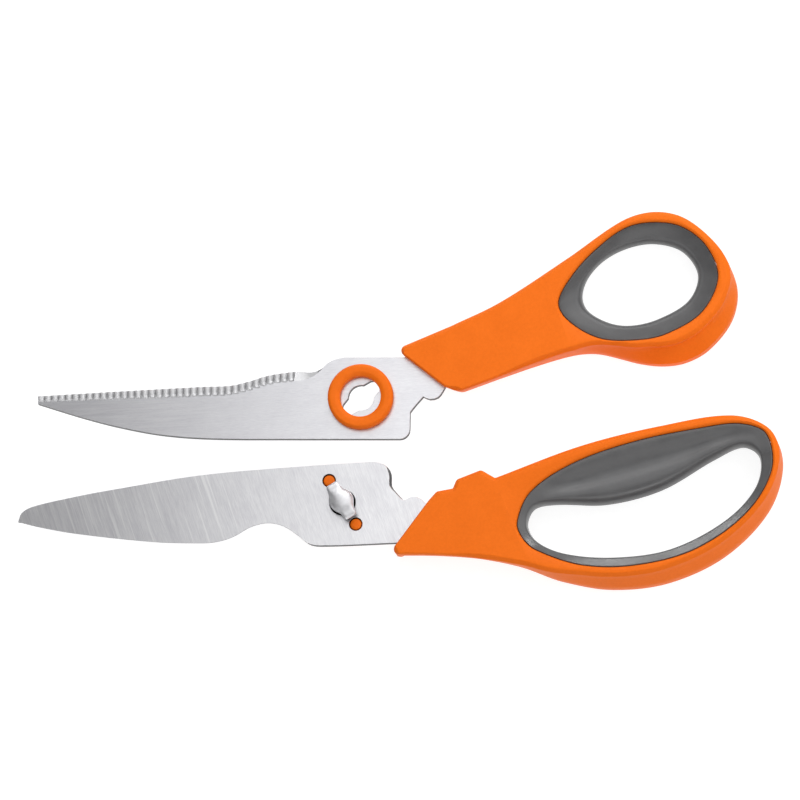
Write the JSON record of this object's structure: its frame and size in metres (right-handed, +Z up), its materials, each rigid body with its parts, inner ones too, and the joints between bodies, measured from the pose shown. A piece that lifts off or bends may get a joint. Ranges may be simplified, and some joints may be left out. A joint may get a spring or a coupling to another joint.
{
  "type": "poultry shears",
  "caption": "Take-apart poultry shears with a knife blade, a serrated blade, a bayonet pivot and soft-lined finger and thumb loops, lying in two halves.",
  "frame": {"origin": "on the pivot stud's axis at the table, which is the centre of the pivot cap's flat outer face", "axes": "+X from the blades towards the handles, +Y across the pair from the knife half to the serrated half, +Z up from the table along the pivot's axis"},
  "size_m": [0.2559, 0.1265, 0.014],
  "materials": {
    "knife_steel": "coarse slanted grind marks, satin",
    "serrated_steel": "fine lengthwise grain, satin, darker towards the tip",
    "stud_steel": "polished",
    "spring_steel": "plain",
    "orange_plastic": "satin, faint moulded texture",
    "grey_rubber": "matte"
  },
  "bodies": {
    "knife_half": {"knife_blade": "knife_steel", "pivot_stud": "stud_steel", "pivot_cap": "orange_plastic", "knife_handle": "orange_plastic", "knife_grip": "grey_rubber"},
    "pivot_washer": {"tension_washer": "spring_steel"},
    "serrated_half": {"serrated_blade": "serrated_steel", "pivot_ring": "orange_plastic", "serrated_handle": "orange_plastic", "serrated_grip": "grey_rubber"}
  },
  "joints": [
    {"name": "blade_pivot", "type": "hinge", "parent": "knife_half", "child": "pivot_washer", "pos_m": [0, 0, 0.0072], "axis": [0, 0, 1], "range_deg": [0, 76]},
    {"name": "bring_together", "type": "hinge", "parent": "pivot_washer", "child": "serrated_half", "pos_m": [0.44723, -0.06145, 0.0072], "axis": [0, 0, 1], "range_deg": [-22.5, 4.5]}
  ]
}
